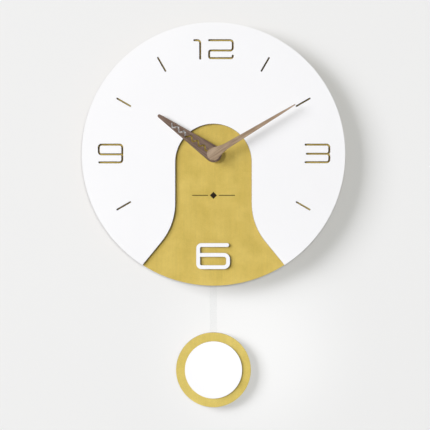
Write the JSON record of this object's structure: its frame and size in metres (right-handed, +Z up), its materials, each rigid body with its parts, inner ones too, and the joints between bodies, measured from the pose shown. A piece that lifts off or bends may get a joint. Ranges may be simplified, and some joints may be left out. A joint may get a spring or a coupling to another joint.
{
  "type": "wall clock",
  "caption": "Round two-layer wall clock with a bell-shaped gold panel, wooden hands, battery movement and a clear-rod pendulum with a disc bob.",
  "frame": {"origin": "centre of the round part of the hanging hole, on the wall plane", "axes": "+X right and +Z up as seen from the front, +Y into the wall"},
  "size_m": [0.3, 0.0358, 0.4396],
  "materials": {
    "gold_board": "matt gold paint on thin fibreboard, brown laser-cut edges",
    "white_board": "satin white lacquer on thin fibreboard, brown laser-cut edges",
    "hand_veneer": "walnut-look veneer, laser-cut",
    "hand_veneer_dark": "darker walnut-look veneer, laser-cut",
    "turned_brass": "plain turned",
    "black_rubber": "moulded",
    "case_plastic": "fine moulded texture",
    "plated_steel": "zinc plated, pressed",
    "screw_steel": "bright zinc",
    "wheel_plastic": "natural acetal",
    "pinion_plastic": "natural acetal",
    "train_plastic": "ivory moulded",
    "knob_plastic": "moulded",
    "magnet": "ground ferrite",
    "iron_lamination": "pressed soft iron",
    "bobbin_plastic": "moulded",
    "copper_winding": "enamelled copper wire, tight turns",
    "circuit_card": "green solder mask",
    "chip_resin": "black resin drop",
    "crystal_can": "drawn can",
    "cell_jacket": "printed sleeve without words",
    "spring_contact": "nickel plated",
    "clear_acrylic": "clear sheet, polished edges"
  },
  "bodies": {
    "clock": {"base_disc": "gold_board", "face_layer": "white_board", "nine_centre": "white_board", "numeral_six": "white_board", "threaded_bush": "turned_brass", "rubber_washer": "black_rubber", "brass_washer": "turned_brass", "hex_nut": "turned_brass", "front_case": "case_plastic", "rear_cover": "case_plastic", "train_plate": "train_plastic", "hanger": "plated_steel", "hanger_screws": "screw_steel", "stator": "iron_lamination", "coil_core": "iron_lamination", "coil_bobbin": "bobbin_plastic", "coil_winding": "copper_winding", "clock_circuit": "circuit_card", "clock_chip": "chip_resin", "quartz_crystal": "crystal_can", "drive_circuit": "circuit_card", "drive_chip": "chip_resin", "drive_bobbin": "bobbin_plastic", "drive_winding": "copper_winding", "battery": "cell_jacket", "positive_contact": "spring_contact", "negative_contact": "spring_contact", "pivot_pin": "screw_steel"},
    "minute_set": {"minute_arbor": "pinion_plastic", "minute_collet": "turned_brass", "minute_hand": "hand_veneer"},
    "hour_set": {"hour_wheel": "wheel_plastic", "hour_collet": "turned_brass", "hour_hand": "hand_veneer_dark"},
    "motion_set": {"motion_wheel": "wheel_plastic"},
    "knob_set": {"setting_knob": "knob_plastic"},
    "seconds_set": {"seconds_wheel": "wheel_plastic"},
    "rotor_set": {"rotor_pinion": "pinion_plastic", "rotor_magnet": "magnet"},
    "fifth_set": {"fifth_wheel": "wheel_plastic"},
    "third_set": {"third_wheel": "wheel_plastic"},
    "centre_set": {"centre_wheel": "wheel_plastic"},
    "pendulum": {"pendulum_arm": "case_plastic", "pendulum_magnet": "magnet", "pendulum_rod": "clear_acrylic", "bob_disc": "gold_board", "bob_centre": "white_board"}
  },
  "joints": [
    {"name": "minute_turn", "type": "hinge", "parent": "clock", "child": "minute_set", "pos_m": [0, -0.022, -0.038], "axis": [0, 1, 0], "continuous": true},
    {"name": "motion_turn", "type": "hinge", "parent": "clock", "child": "motion_set", "pos_m": [-0.01039, -0.014, -0.032], "axis": [0, 1, 0], "continuous": true},
    {"name": "hour_turn", "type": "hinge", "parent": "clock", "child": "hour_set", "pos_m": [0, -0.022, -0.038], "axis": [0, 1, 0], "continuous": true},
    {"name": "knob_turn", "type": "hinge", "parent": "clock", "child": "knob_set", "pos_m": [-0.02078, -0.008, -0.026], "axis": [0, 1, 0], "continuous": true},
    {"name": "seconds_turn", "type": "hinge", "parent": "clock", "child": "seconds_set", "pos_m": [0, -0.008, -0.038], "axis": [0, 1, 0], "continuous": true},
    {"name": "rotor_turn", "type": "hinge", "parent": "clock", "child": "rotor_set", "pos_m": [0.015, -0.008, -0.04842], "axis": [0, 1, 0], "continuous": true},
    {"name": "fifth_turn", "type": "hinge", "parent": "clock", "child": "fifth_set", "pos_m": [0.01063, -0.006, -0.04085], "axis": [0, 1, 0], "continuous": true},
    {"name": "third_turn", "type": "hinge", "parent": "clock", "child": "third_set", "pos_m": [0.0054, -0.009, -0.02865], "axis": [0, 1, 0], "continuous": true},
    {"name": "centre_turn", "type": "hinge", "parent": "clock", "child": "centre_set", "pos_m": [0, -0.0106, -0.038], "axis": [0, 1, 0], "continuous": true},
    {"name": "pendulum_swing", "type": "hinge", "parent": "clock", "child": "pendulum", "pos_m": [0, -0.0073, -0.084], "axis": [0, 1, 0], "range_deg": [-10, 10]}
  ],
  "couplings": [
    {"joint": "motion_turn", "follows": "minute_turn", "ratio": -0.33333},
    {"joint": "hour_turn", "follows": "minute_turn", "ratio": 0.083333},
    {"joint": "knob_turn", "follows": "minute_turn", "ratio": 1},
    {"joint": "fifth_turn", "follows": "seconds_turn", "ratio": -5},
    {"joint": "rotor_turn", "follows": "seconds_turn", "ratio": 30},
    {"joint": "third_turn", "follows": "seconds_turn", "ratio": -0.13333},
    {"joint": "centre_turn", "follows": "seconds_turn", "ratio": 0.016667}
  ]
}
